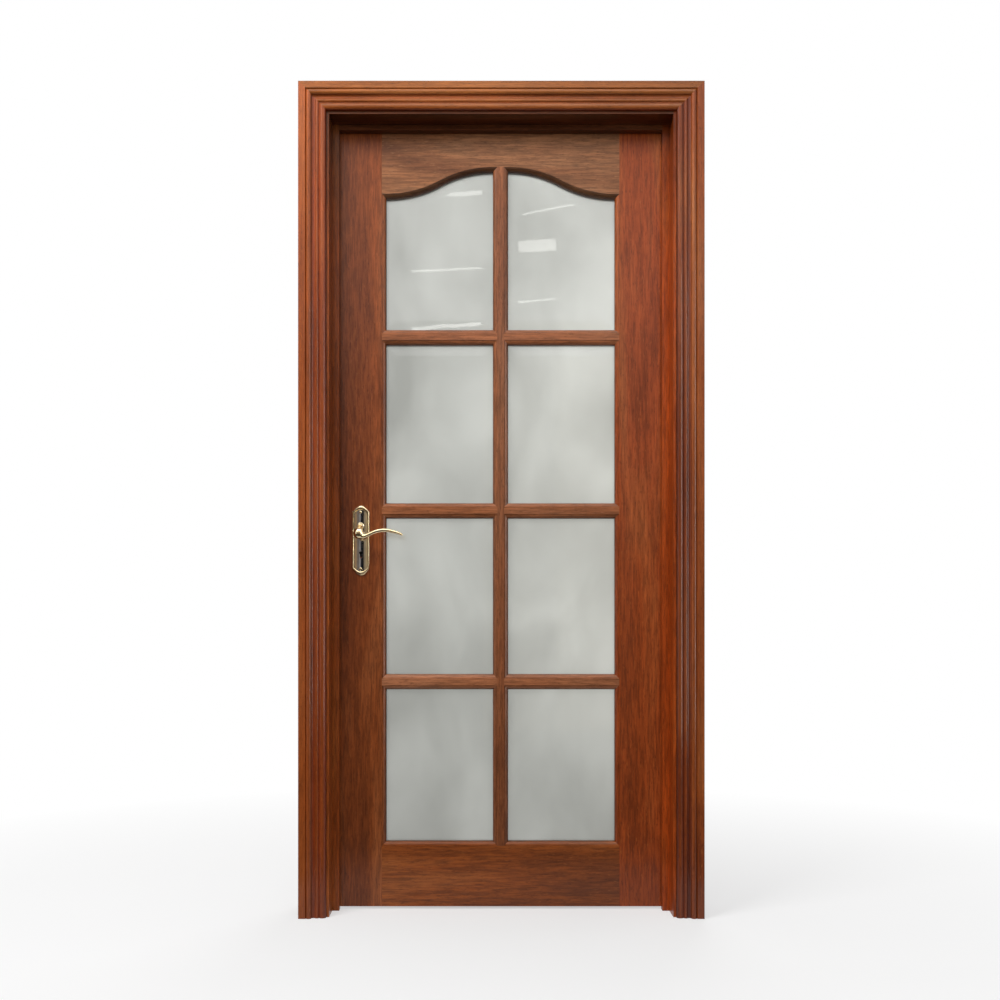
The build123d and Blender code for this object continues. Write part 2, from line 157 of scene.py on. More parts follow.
def stained_wood(name, along, tones, gloss, seed, streaky=0.8):
    """Open-pored hardwood under stain: soft figure, ribbons, streaks, lines, short pores and flecks."""
    dark, middle, light = tones
    material, tree, shader = new_material(name)
    a, b, c = here = (seed * 3.1, seed * 1.7, seed * 2.3)

    def layer(across, length, detail, roughness, distortion=0.0, shift=here):
        return noise(tree, stretched(tree, along, across, length, shift), detail, roughness, distortion)

    def shaded(colour, amount, pattern, low, high):
        """low and high are each a level of the pattern and the shade that it gives."""
        shades = ramp(tree, pattern, ((low[0], grey(low[1])), (high[0], grey(high[1]))))
        return mixed(tree, "MULTIPLY", amount, colour, shades)

    clouds = layer(9.0, 1.3, detail=3.0, roughness=0.5, distortion=0.8)
    ribbons = layer(75.0, 3.5, detail=4.0, roughness=0.6, distortion=0.4)
    streaks = layer(230.0, 20.0, detail=2.0, roughness=0.55, distortion=0.2, shift=(c, a, b))
    lines = layer(420.0, 14.0, detail=3.0, roughness=0.6)
    pores = layer(520.0, 75.0, detail=2.0, roughness=0.5)
    flecks = layer(300.0, 60.0, detail=2.0, roughness=0.5, shift=(b, c, a))
    colour = ramp(tree, clouds, ((0.3, dark), (0.5, middle), (0.72, light)))
    colour = shaded(colour, 0.55, ribbons, (0.3, 0.6), (0.62, 1.12))
    colour = shaded(colour, streaky, streaks, (0.36, 0.62), (0.62, 1.14))
    colour = shaded(colour, 0.6, lines, (0.36, 0.7), (0.6, 1.08))
    colour = shaded(colour, 0.7, pores, (0.32, 0.5), (0.42, 1.0))
    colour = mixed(tree, "MIX", spread(tree, flecks, 0.62, 0.72, 0.0, 0.4), colour, light)
    link(tree, spread(tree, lines, 0.3, 0.7, 0.46, 0.32), shader.inputs["Roughness"])
    specular, lacquer, lacquer_roughness = gloss
    shader.inputs["Specular IOR Level"].default_value = specular
    shader.inputs["Coat Weight"].default_value = lacquer
    shader.inputs["Coat Roughness"].default_value = lacquer_roughness
    set_bump(tree, pores, strength=0.3, distance=0.0004, normal=shader.inputs["Normal"])
    return material, tree, shader, colour


def coat(piece, material):
    piece.data.materials.clear()
    piece.data.materials.append(material)


def dress(material, *names):
    for name in names:
        coat(nodes[name], material)


def painted_shade_low(tree, colour, middle, low, high, shades):
    """Painted shade, darker low in a moulding; low and high are distances from its middle plane."""
    proud = tree.nodes.new("ShaderNodeMath")
    proud.operation = "SUBTRACT"
    link(tree, position(tree, "Y"), proud.inputs[0])
    proud.inputs[1].default_value = middle
    size = tree.nodes.new("ShaderNodeMath")
    size.operation = "ABSOLUTE"
    link(tree, proud.outputs["Value"], size.inputs[0])
    height = spread(tree, size.outputs["Value"], low, high, 0.0, 1.0)
    return mixed(tree, "MULTIPLY", 0.9, colour, ramp(tree, height, shades))


wall_middle = 0.0
casing_groove, casing_crest = 0.0725, 0.081
casing_gloss = (0.15, 0.42, 0.15)


def casing_wood(name, along, tones, seed, grooves):
    material, tree, shader, colour = stained_wood(name, along, tones, casing_gloss, seed, streaky=0.4)
    colour = painted_shade_low(tree, colour, wall_middle, casing_groove, casing_crest, grooves)
    link(tree, colour, shader.inputs["Base Color"])
    return material


orange_brown = ((0.22, 0.043, 0.0085), (0.33, 0.073, 0.0125), (0.43, 0.125, 0.03))
# The head's tones are a paler, tanner copy of the casing wood: painted sheen from the light overhead.
sheen_tan = ((0.217, 0.059, 0.012), (0.32, 0.093, 0.0168), (0.41, 0.143, 0.0385))
# Painted shade for the quirks, tinted red: the lower a moulding lies, the darker it is made.
red_groove_shade = ((0.0, (0.6, 0.27, 0.2)), (0.5, (0.85, 0.67, 0.6)), (1.0, grey(1.0)))
# A deeper painted shade for the hinge side's quirks, for stronger light and shade on its beads.
dark_groove_shade = ((0.0, (0.14, 0.07, 0.06)), (0.5, (0.55, 0.38, 0.34)), (1.0, grey(1.0)))
lock_casing = casing_wood("casing_wood_lock_side", ALONG_Z, orange_brown, 1.0, red_groove_shade)
hinge_casing = casing_wood("casing_wood_hinge_side", ALONG_Z, orange_brown, 13.0, dark_groove_shade)
head_casing = casing_wood("casing_wood_head", ALONG_X, sheen_tan, 2.0, red_groove_shade)
dress(lock_casing, "casing_front_lock", "casing_back_lock")
dress(hinge_casing, "casing_front_hinge", "casing_back_hinge")
dress(head_casing, "casing_front_head", "casing_back_head")


# Jambs and stops: the plain boards that line the wall's opening, with a stop planted on them.
# The same wood as the casings, browner and less glossy, and darkened up under the head by a painted
# shadow.
lining_gloss = (0.1, 0.3, 0.2)
head_shadow_from, head_shadow_full = 1.72, 2.03
painted_head_shadow = ((0.0, grey(1.0)), (1.0, (0.42, 0.47, 0.55)))


def lining_wood(name, along, tones, seed):
    material, tree, shader, colour = stained_wood(name, along, tones, lining_gloss, seed)
    # A painted shadow darkens the lining towards the head.
    height = spread(tree, position(tree, "Z"), head_shadow_from, head_shadow_full, 0.0, 1.0)
    colour = mixed(tree, "MULTIPLY", 1.0, colour, ramp(tree, height, painted_head_shadow))
    link(tree, colour, shader.inputs["Base Color"])
    return material


# The hinge side's tones are a lit copy of the lining wood, painted brighter where light from the left
# falls on it; the head's are a shaded copy, painted darker where it faces down.
lit_lining = ((0.31, 0.05, 0.0065), (0.42, 0.069, 0.0085), (0.52, 0.11, 0.017))
brown_lining = ((0.26, 0.056, 0.0095), (0.36, 0.08, 0.0135), (0.45, 0.125, 0.026))
shaded_lining = ((0.18, 0.042, 0.01), (0.26, 0.062, 0.015), (0.38, 0.105, 0.03))
dress(lining_wood("lining_wood_lock_side", ALONG_Z, brown_lining, 12.0), "jamb_lock", "stop_lock")
dress(lining_wood("lining_wood_hinge_side", ALONG_Z, lit_lining, 3.0), "jamb_hinge", "stop_hinge")
dress(lining_wood("lining_wood_level", ALONG_X, shaded_lining, 4.0), "jamb_head", "stop_head")


# Leaf: stiles, rails and bars of the same wood, reddish brown under a satin lacquer.
# Each runs with its own grain, so the joints between stile and rail show, and painted shade darkens the
# low part of the moulding round the panes.
leaf_middle = 0.045
moulding_foot, moulding_crest = 0.003, 0.019
leaf_gloss = (0.1, 0.45, 0.24)
# Painted shade round the panes, darkest low in the moulding next to the glass.
shade_round_the_panes = ((0.0, grey(0.5)), (0.4, grey(0.7)), (1.0, grey(1.0)))
# Under the arch the moulding gets a much deeper, slightly bluish painted shadow, for an underside the
# light from above misses.
shadow_under_the_arch = ((0.0, (0.42, 0.38, 0.5)), (0.6, grey(0.3)), (0.92, grey(0.22)), (0.99, grey(1.0)))


def leaf_wood(name, along, tones, seed, moulding=shade_round_the_panes):
    material, tree, shader, colour = stained_wood(name, along, tones, leaf_gloss, seed)
    colour = painted_shade_low(tree, colour, leaf_middle, moulding_foot, moulding_crest, moulding)
    link(tree, colour, shader.inputs["Base Color"])
    return material


brown = ((0.165, 0.038, 0.009), (0.243, 0.056, 0.0115), (0.34, 0.1, 0.029))
warm_brown = ((0.19, 0.045, 0.009), (0.28, 0.066, 0.011), (0.38, 0.11, 0.026))
red_brown = ((0.235, 0.042, 0.007), (0.34, 0.062, 0.0105), (0.43, 0.112, 0.026))
tan_brown = ((0.185, 0.064, 0.023), (0.275, 0.105, 0.04), (0.37, 0.165, 0.072))
mid_brown = ((0.18, 0.053, 0.018), (0.268, 0.084, 0.031), (0.36, 0.135, 0.057))
light_brown = ((0.24, 0.072, 0.024), (0.35, 0.113, 0.04), (0.45, 0.17, 0.075))
# The low bars' tones are a paler copy of the wood, painted lighter to make up for the light falling off
# towards the foot.
lit_pale_brown = ((0.28, 0.09, 0.035), (0.41, 0.145, 0.06), (0.52, 0.21, 0.1))
dress(leaf_wood("leaf_wood_lock_stile", ALONG_Z, brown, 5.0), "stile_lock")
dress(leaf_wood("leaf_wood_hinge_stile", ALONG_Z, red_brown, 6.0), "stile_hinge")
dress(leaf_wood("leaf_wood_top_rail", ALONG_X, tan_brown, 7.0, shadow_under_the_arch), "rail_top")
dress(leaf_wood("leaf_wood_bottom_rail", ALONG_X, warm_brown, 8.0), "rail_bottom")
dress(leaf_wood("leaf_wood_upright_bar", ALONG_Z, mid_brown, 9.0), "bar_upright")
level_bars = [f"bar_{level}_{side}" for level in ("high", "mid") for side in ("lock", "hinge")]
dress(leaf_wood("leaf_wood_level_bars", ALONG_X, light_brown, 10.0), *level_bars)
dress(leaf_wood("leaf_wood_low_bars", ALONG_X, lit_pale_brown, 11.0), "bar_low_lock", "bar_low_hinge")


# Panes: eight sheets of pale obscured glass, set in grooves in the wood.
# Milky grey-green and polished, each with a wide shallow bevel ground round its edge on both faces.
# Painted shade darkens the milk towards the lock side and towards the foot.
thin_milk, thick_milk = (0.585, 0.595, 0.555), (0.835, 0.85, 0.8)
shade_across, shade_up = (-0.8, -0.14), (0.2, 0.75)


def pane_glass():
    material, tree, shader = new_material("pane_glass")
    clouds = noise(tree, stretched(tree, ALONG_Z, 5.0, 3.0), detail=3.0, roughness=0.5, distortion=0.3)
    milk = ramp(tree, clouds, ((0.3, thin_milk), (0.7, thick_milk)))
    # Painted shade: the milk is made darker towards the lock side and towards the foot.
    for axis, (low, high), level in (("X", shade_across, 0.77), ("Z", shade_up, 0.82)):
        share = spread(tree, position(tree, axis), low, high, 0.0, 1.0)
        painted_pane_shade = ramp(tree, share, ((0.0, grey(level)), (1.0, grey(1.0))))
        milk = mixed(tree, "MULTIPLY", 1.0, milk, painted_pane_shade)
    link(tree, milk, shader.inputs["Base Color"])
    shader.inputs["Transmission Weight"].default_value = 0.8
    link(tree, spread(tree, clouds, 0.3, 0.7, 0.45, 0.35), shader.inputs["Roughness"])
    shader.inputs["Specular IOR Level"].default_value = 0.0
    shader.inputs["Coat Weight"].default_value = 1.0
    shader.inputs["Coat Roughness"].default_value = 0.02
    waves = noise(tree, stretched(tree, ALONG_Z, 14.0, 9.0), detail=1.0, roughness=0.4)
    set_bump(tree, waves, strength=0.06, distance=0.002, normal=shader.inputs["Coat Normal"])
    return material


def select_alone(piece):
    bpy.ops.object.select_all(action="DESELECT")
    bpy.context.view_layer.objects.active = piece
    piece.select_set(True)


def copied(name, piece):
    """A copy with a mesh of its own, selected alone."""
    twin = bpy.data.objects.new(name, piece.data.copy())
    bpy.context.scene.collection.objects.link(twin)
    select_alone(twin)
    return twin


def merged_copy(name, node):
    """A copy of a node's mesh as one closed skin, with its flat faces whole."""
    piece = copied(name, nodes[node])
    bpy.ops.object.mode_set(mode="EDIT")
    bpy.ops.mesh.select_all(action="SELECT")
    bpy.ops.mesh.remove_doubles(threshold=0.00001)
    bpy.ops.mesh.dissolve_limited(angle_limit=math.radians(1.0))
    bpy.ops.mesh.select_all(action="DESELECT")
    bpy.ops.mesh.select_mode(type="FACE")
    bpy.ops.object.mode_set(mode="OBJECT")
    return piece


glass = pane_glass()
edge_step, edge_steps = 0.002, 17
bevel_step = 0.00004
squarely = 0.9
rows, sides = ("arched", "upper", "lower", "bottom"), ("lock", "hinge")
panes = [f"pane_{row}_{side}" for row in rows for side in sides]
for name in panes:
    pane = merged_copy(f"glass_{name}", name)
    for side in (-1, 1):
        for face in pane.data.polygons:
            face.select = face.normal.y * side > squarely
        bpy.ops.object.mode_set(mode="EDIT")
        for step in range(edge_steps):
            bpy.ops.mesh.inset(thickness=edge_step, depth=0.0)
            bpy.ops.transform.translate(value=(0.0, side * bevel_step, 0.0))
            bpy.ops.mesh.remove_doubles(threshold=edge_step * 0.9)
        bpy.ops.mesh.select_all(action="DESELECT")
        bpy.ops.object.mode_set(mode="OBJECT")
    coat(pane, glass)
    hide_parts(name)
    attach(pane, "leaf")


# Handle: a long plate on each face with a gilt rim and an inlaid nickel panel, and a cast lever.
# All are polished and lacquered; the lever turns in the plate.
def polished_metal(name, colour, worn, roughness):
    material, tree, shader = new_material(name)
    worn_rougher = 1.6
    patches = noise(tree, stretched(tree, ALONG_Z, 90.0, 60.0), detail=4.0, roughness=0.6)
    link(tree, ramp(tree, patches, ((0.35, worn), (0.6, colour))), shader.inputs["Base Color"])
    shader.inputs["Metallic"].default_value = 1.0
    polish = spread(tree, patches, 0.3, 0.7, roughness * worn_rougher, roughness)
    link(tree, polish, shader.inputs["Roughness"])
    return material


gilt = polished_metal("gilt_brass", (0.95, 0.8, 0.52), (0.84, 0.67, 0.4), 0.13)
nickel = polished_metal("polished_nickel", (0.78, 0.74, 0.68), (0.66, 0.62, 0.56), 0.08)
dress(gilt, "plate_front", "plate_back")
dress(nickel, "panel_front", "panel_back")

# The lever is cast in one piece: a collar, a neck that swings down to a round hub, and a waved arm.
# Its places are from the spindle's axis, in mm: across, up, and out from the leaf's face.
handle_x, handle_z, leaf_face = -0.836, 1.002, 0.025


def by_the_handle(across, up, out):
    return Vector((handle_x + across / 1000, leaf_face - out / 1000, handle_z + up / 1000))


def rod(rings, outwards):
    """Rings of one circle drawn along, each (across, up, out, radius), closed at both ends."""
    turn = (math.pi / 2, 0.0, 0.0) if outwards else (0.0, math.pi / 2, 0.0)
    across, up, out, radius = rings[0]
    bpy.ops.mesh.primitive_circle_add(
        vertices=24, radius=radius / 1000, fill_type="NGON",
        location=by_the_handle(across, up, out), rotation=turn,
    )
    bpy.ops.object.mode_set(mode="EDIT")
    last = rings[0]
    for ring in rings[1:]:
        here = by_the_handle(*ring[:3])
        step = here - by_the_handle(*last[:3])
        bpy.ops.mesh.extrude_region_move(TRANSFORM_OT_translate={"value": step})
        bpy.ops.transform.resize(value=(ring[3] / last[3],) * 3, center_override=here)
        last = ring
    bpy.ops.mesh.select_all(action="SELECT")
    bpy.ops.mesh.normals_make_consistent(inside=False)
    bpy.ops.object.mode_set(mode="OBJECT")
    return bpy.context.object


collar_and_neck = [
    (0, 0, 1, 8.8), (0, 0, 12, 8.8), (0, 0, 14, 7.6), (0, -1, 18, 7.2),
    (-0.2, -5, 27, 7.2), (-0.5, -12, 37, 7.8), (-0.8, -18, 45, 9.0), (-0.8, -22, 50, 10.0),
]
waved_arm = [
    (0, -26, 50.0, 7.0), (6, -30.0, 50.0, 7.0), (11, -31.0, 50.0, 6.2), (17, -29.8, 50.0, 5.6),
    (25, -25.9, 49.8, 5.5), (40, -19.2, 49.5, 5.4), (50, -16.4, 49.3, 5.3), (61, -15.0, 49.0, 5.1),
    (70, -15.1, 48.4, 4.9), (78, -16.0, 47.8, 4.7), (90, -18.7, 46.6, 4.4), (100, -21.5, 45.4, 4.2),
    (109, -25.2, 44.3, 3.9), (111.5, -26.3, 44.0, 3.2), (112.4, -26.8, 43.9, 1.8),
]
hub_radius, hub_shape = 0.0142, (1.0, 0.85, 1.02)
bpy.ops.object.select_all(action="DESELECT")
bpy.ops.mesh.primitive_uv_sphere_add(
    segments=48, ring_count=24, radius=hub_radius, location=by_the_handle(-0.8, -22.6, 49.0),
)
hub = bpy.context.object
hub.scale = hub_shape
bpy.ops.object.transform_apply()
parts = [hub, rod(collar_and_neck, True), rod(waved_arm, False)]
select_alone(hub)
for part in parts:
    part.select_set(True)
bpy.ops.object.join()
lever = bpy.context.object
lever.name = "cast_lever_front"
skin = lever.modifiers.new("one_skin", "REMESH")
skin.mode = "VOXEL"
skin.voxel_size = 0.0008
bpy.ops.object.modifier_apply(modifier="one_skin")
polish = lever.modifiers.new("polish", "SMOOTH")
polish.factor, polish.iterations = 0.5, 24
bpy.ops.object.modifier_apply(modifier="polish")
bpy.ops.object.shade_smooth()
bpy.ops.object.transform_apply()


def on_the_back(piece, name):
    """The same piece mirrored on to the leaf's other face."""
    twin = copied(name, piece)
    twin.location = (0.0, 2 * leaf_middle, 0.0)
    twin.scale = (1.0, -1.0, 1.0)
    bpy.ops.object.transform_apply()
    bpy.ops.object.mode_set(mode="EDIT")
    bpy.ops.mesh.select_all(action="SELECT")
    bpy.ops.mesh.normals_make_consistent(inside=False)
    bpy.ops.object.mode_set(mode="OBJECT")
    return twin


for piece, node in ((lever, "lever_front"), (on_the_back(lever, "cast_lever_back"), "lever_back")):
    coat(piece, gilt)
    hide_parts(node)
    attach(piece, "lever")

# The plate's gilt border is a raised bead all round the panel, swelling into a crown at the top and a
# smaller one at the foot. Each of its points is across and up from the spindle's axis and half its width
# there, in mm.
border = [
    (-20.2, -110, 1.9, "VECTOR"), (-20.2, 35, 1.9, "VECTOR"),
    (-12.5, 42.2, 3.4, "AUTO"), (0, 47.2, 5.8, "AUTO"), (12.5, 42.2, 3.4, "AUTO"),
    (20.2, 35, 1.9, "VECTOR"), (20.2, -110, 1.9, "VECTOR"),
    (11.5, -118.2, 2.6, "AUTO"), (0, -123.0, 4.2, "AUTO"), (-11.5, -118.2, 2.6, "AUTO"),
]
border_out = 0.0048
border_place = (handle_x, leaf_face - border_out, handle_z)
border_flatness = 0.6
mm = 0.001
bpy.ops.object.select_all(action="DESELECT")
bpy.ops.curve.primitive_bezier_circle_add(radius=0.02)
bead = bpy.context.object
bead.name = "plate_border_front"
bead.data.dimensions = "3D"
bead.data.bevel_depth = mm
bead.data.bevel_resolution = 5
bead.data.resolution_u = 8
line = bead.data.splines[0]
line.bezier_points.add(len(border) - len(line.bezier_points))
for point, (across, up, half_width, kind) in zip(line.bezier_points, border):
    point.co = (across * mm, -up * mm, 0.0)
    point.radius = half_width
    point.handle_left_type = point.handle_right_type = kind
bead.rotation_euler = (-math.pi / 2, 0.0, 0.0)
bead.location = border_place
select_alone(bead)
bpy.ops.object.convert(target="MESH")
bpy.ops.object.transform_apply()
bpy.ops.object.mode_set(mode="EDIT")
bpy.ops.mesh.select_all(action="SELECT")
bpy.ops.transform.resize(value=(1.0, border_flatness, 1.0), center_override=border_place)
bpy.ops.mesh.normals_make_consistent(inside=False)
bpy.ops.object.mode_set(mode="OBJECT")
bpy.ops.object.shade_smooth()
for piece in (bead, on_the_back(bead, "plate_border_back")):
    coat(piece, gilt)
    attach(piece, "leaf")


# Lock edge, strike and hinges: satin steel, let in flush with the wood, with darker bolts and screws.
# Inside each plate a near-black disc shows through the keyhole: painted shade for the dark inside the
# hole.
satin_steel = polished_metal("satin_steel", (0.56, 0.54, 0.5), (0.44, 0.42, 0.38), 0.28)
dress(satin_steel, "lock_forend", "strike_plate")
bolt_steel = polished_metal("bolt_steel", (0.36, 0.34, 0.31), (0.24, 0.22, 0.2), 0.22)
dress(bolt_steel, "latch_bolt", "dead_bolt", "spindle")
hinges = [f"hinge_{level}_{side}" for level in ("low", "mid", "high") for side in ("jamb", "leaf")]
dress(satin_steel, *hinges)

# A near-black disc behind each keyhole, painted shade standing in for the dark of the hole.
keyhole_shade_black = polished_metal("keyhole_shade_black", (0.02, 0.018, 0.016), (0.012, 0.011, 0.01), 0.4)
keyhole_z = 0.9315
shade_disc_radius, shade_disc_thickness, shade_disc_set_in, shade_disc_edge = 0.0105, 0.0012, -0.0008, 0.0003
bpy.ops.object.select_all(action="DESELECT")
bpy.ops.mesh.primitive_cylinder_add(
    vertices=32, radius=shade_disc_radius, depth=shade_disc_thickness,
    location=(handle_x, leaf_face + shade_disc_set_in, keyhole_z), rotation=(math.pi / 2, 0.0, 0.0),
)
bpy.ops.object.mode_set(mode="EDIT")
bpy.ops.mesh.select_all(action="SELECT")
bpy.ops.mesh.bevel(offset=shade_disc_edge, segments=2)
bpy.ops.object.mode_set(mode="OBJECT")
bpy.ops.object.transform_apply()
shade_disc_front = bpy.context.object
shade_disc_front.name = "keyhole_shade_front"
for piece in (shade_disc_front, on_the_back(shade_disc_front, "keyhole_shade_back")):
    coat(piece, keyhole_shade_black)
    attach(piece, "leaf")


# Screws: domed gilt ones through the ends of the plates, and flat steel ones in the hinges, forend and
# strike. Each head is turned with a low dome and has a sawn slot.
bpy.ops.object.select_all(action="DESELECT")
bpy.ops.mesh.primitive_cylinder_add(vertices=32, radius=1.0, depth=1.0)
screw = bpy.context.object
screw.name = "screw_pattern"
for face in screw.data.polygons:
    face.select = face.normal.z > squarely
bpy.ops.object.mode_set(mode="EDIT")
bpy.ops.mesh.select_mode(type="FACE")
dome = ((0.12, 0.22), (0.23, 0.18), (0.3, 0.1))
for narrower, higher in dome:
    bpy.ops.mesh.inset(thickness=narrower, depth=0.0)
    bpy.ops.transform.translate(value=(0.0, 0.0, higher))
bpy.ops.object.mode_set(mode="OBJECT")
bpy.ops.mesh.primitive_cube_add(size=1.0, location=(0.0, 0.0, 1.0))
saw = bpy.context.object
saw.scale = (2.4, 0.26, 0.9)
select_alone(screw)
slot_cut = screw.modifiers.new("slot", "BOOLEAN")
slot_cut.operation = "DIFFERENCE"
slot_cut.object = saw
bpy.ops.object.modifier_apply(modifier="slot")
bpy.data.objects.remove(saw)
bpy.ops.object.shade_smooth_by_angle(angle=math.radians(30.0))


def drive(name, place, facing, radius, rise, body, material):
    """A copy of the screw head, let in at a place and facing one way."""
    head = copied(name, screw)
    head.scale = (radius, radius, rise)
    head.rotation_mode = "QUATERNION"
    head.rotation_quaternion = Vector((0.0, 0.0, 1.0)).rotation_difference(Vector(facing))
    head.location = place
    bpy.ops.object.transform_apply()
    coat(head, material)
    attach(head, body)


domed_radius, domed_rise = 0.0037, 0.0017
plate_screw_x, plate_screw_out = handle_x - 0.0005, 0.0054
plate_screw_ups = {"top": 0.0355, "foot": -0.1127}
back_face = 2 * leaf_middle - leaf_face
for face_name, y, out in (
    ("front", leaf_face - plate_screw_out, -1.0), ("back", back_face + plate_screw_out, 1.0),
):
    for end, up in plate_screw_ups.items():
        place = (plate_screw_x, y, handle_z + up)
        name = f"plate_screw_{face_name}_{end}"
        drive(name, place, (0.0, out, 0.0), domed_radius, domed_rise, "leaf", gilt)

flat_rise = 0.0003
hinge_screw_radius, edge_screw_radius = 0.0038, 0.0036
jamb_edge_x, leaf_edge_x = -0.032, -0.037
forend_x, strike_x = -0.9015, -0.908
hinge_screw_places = ((0.14, 0.042), (0.38, 0.053), (0.62, 0.053), (0.86, 0.042))
end_distance = 0.011
for node in hinges:
    low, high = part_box(node)
    on_jamb = node.endswith("jamb")
    face_x, out, body = (jamb_edge_x, -1.0, "frame") if on_jamb else (leaf_edge_x, 1.0, "leaf")
    for number, (share, y) in enumerate(hinge_screw_places, 1):
        place = (face_x, y, low.z + share * (high.z - low.z))
        name = f"{node}_screw_{number}"
        drive(name, place, (out, 0.0, 0.0), hinge_screw_radius, flat_rise, body, bolt_steel)
for node, face_x, out, body in (
    ("lock_forend", forend_x, -1.0, "leaf"), ("strike_plate", strike_x, 1.0, "frame"),
):
    low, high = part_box(node)
    for end, z in (("low", low.z + end_distance), ("high", high.z - end_distance)):
        place = (face_x, leaf_middle, z)
        name = f"{node}_screw_{end}"
        drive(name, place, (out, 0.0, 0.0), edge_screw_radius, flat_rise, body, bolt_steel)
bpy.data.objects.remove(screw)


# The studio: a pale floor that fades to white, white surroundings, and soft light from above.
# Dark walls, a dark cloth, thin tubes and bright cards are there only for what is polished to reflect.
lowest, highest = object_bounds()
middle = (lowest + highest) / 2


def seen_white(tree, shown, lit):
    """One shade to the camera and in reflections, and another as light."""
    path = tree.nodes.new("ShaderNodeLightPath")
    seen = path.outputs["Is Camera Ray"]
    for other in ("Is Glossy Ray", "Is Transmission Ray"):
        top = tree.nodes.new("ShaderNodeMath")
        top.operation = "MAXIMUM"
        link(tree, seen, top.inputs[0])
        link(tree, path.outputs[other], top.inputs[1])
        seen = top.outputs["Value"]
    return mixed(tree, "MIX", seen, lit, shown)


floor_radius, floor_z = 40.0, -0.001
fade_from, fade_to = 0.2, 2.4
bpy.ops.object.select_all(action="DESELECT")
bpy.ops.mesh.primitive_circle_add(
    vertices=96, radius=floor_radius, fill_type="NGON", location=(middle.x, 0.0, floor_z),
)
floor = bpy.context.object
floor.name = "floor"
bpy.ops.object.transform_apply()
floor_paint, tree, shader = new_material("floor_paint")
dust = noise(tree, stretched(tree, ALONG_Z, 1.5, 1.5), detail=2.0, roughness=0.5)
pale = seen_white(tree, ramp(tree, dust, ((0.3, grey(0.88)), (0.7, grey(0.9)))), grey(0.5))
link(tree, pale, shader.inputs["Base Color"])
shader.inputs["Roughness"].default_value = 0.9
shader.inputs["Specular IOR Level"].default_value = 0.1
white = tree.nodes.new("ShaderNodeEmission")
link(tree, seen_white(tree, grey(1.0), grey(0.1)), white.inputs["Color"])
place = tree.nodes.new("ShaderNodeTexCoord")
away = tree.nodes.new("ShaderNodeVectorMath")
away.operation = "DISTANCE"
link(tree, place.outputs["Object"], away.inputs[0])
away.inputs[1].default_value = (middle.x, 0.0, 0.0)
fade = tree.nodes.new("ShaderNodeMixShader")
link(tree, spread(tree, away.outputs["Value"], fade_from, fade_to, 0.5, 1.0), fade.inputs["Fac"])
link(tree, shader.outputs["BSDF"], fade.inputs[1])
link(tree, white.outputs["Emission"], fade.inputs[2])
out = next(node for node in tree.nodes if node.type == "OUTPUT_MATERIAL")
link(tree, fade.outputs["Shader"], out.inputs["Surface"])
floor.data.materials.append(floor_paint)

world = bpy.data.worlds.new("studio")
bpy.context.scene.world = world
world.use_nodes = True
tree = world.node_tree
backdrop = tree.nodes["Background"]
link(tree, seen_white(tree, grey(1.0), grey(0.24)), backdrop.inputs["Color"])
backdrop.inputs["Strength"].default_value = 1.0


def glow(name, strength):
    """The paint of a card or tube that shows only in reflections."""
    material, tree, shader = new_material(name)
    shader.inputs["Base Color"].default_value = (0.0, 0.0, 0.0, 1.0)
    shader.inputs["Specular IOR Level"].default_value = 0.0
    shader.inputs["Emission Color"].default_value = (1.0, 1.0, 0.96, 1.0)
    shader.inputs["Emission Strength"].default_value = strength
    return material, tree, shader


def reflected_card(name, place, size, turn, paint):
    """A flat card that shows only in reflections."""
    bpy.ops.object.select_all(action="DESELECT")
    bpy.ops.mesh.primitive_plane_add(size=1.0, location=place, rotation=turn)
    card = bpy.context.object
    card.name = name
    card.scale = (*size, 1.0)
    bpy.ops.object.transform_apply()
    card.data.materials.append(paint)
    card.visible_camera = False
    card.visible_diffuse = False
    card.visible_transmission = False
    card.visible_shadow = False


# A dark wall stands on each side, with upright bands, which the curved nickel shows side by side.
# Each band is where it begins in X, and its shade.
bands = [
    (-9.0, (0.12, 0.1, 0.08)), (-3.1, (0.3, 0.2, 0.11)), (-2.4, (0.16, 0.14, 0.13)),
    (-1.62, (0.42, 0.42, 0.44)), (-1.42, (0.006, 0.007, 0.01)), (-0.55, (0.3, 0.24, 0.17)),
    (0.0, (0.4, 0.3, 0.16)), (0.6, (0.12, 0.1, 0.08)),
]
banded_reach = 9.0
upright, flat = (math.pi / 2, 0.0, 0.0), (0.0, 0.0, 0.0)
wall_size = (9.0, 2.65)
wall_paint, tree, shader = glow("dark_wall_paint", strength=1.0)
share = spread(tree, position(tree, "X"), -banded_reach, banded_reach, 0.0, 1.0)
stops = [((x + banded_reach) / (2 * banded_reach), colour) for x, colour in bands]
striped = ramp(tree, share, stops)
striped.node.color_ramp.interpolation = "CONSTANT"
link(tree, striped, shader.inputs["Emission Color"])
for side, y in (("front", -5.0), ("back", 5.0)):
    reflected_card(f"dark_wall_{side}", (middle.x, y, wall_size[1] / 2), wall_size, upright, wall_paint)

# A dark cloth lies on the floor in front of the door.
cloth_size = (9.0, 4.5)
cloth_paint, tree, shader = glow("dark_cloth_dye", strength=1.0)
shader.inputs["Emission Color"].default_value = (0.05, 0.045, 0.04, 1.0)
reflected_card("dark_cloth", (middle.x, -2.75, 0.001), cloth_size, flat, cloth_paint)

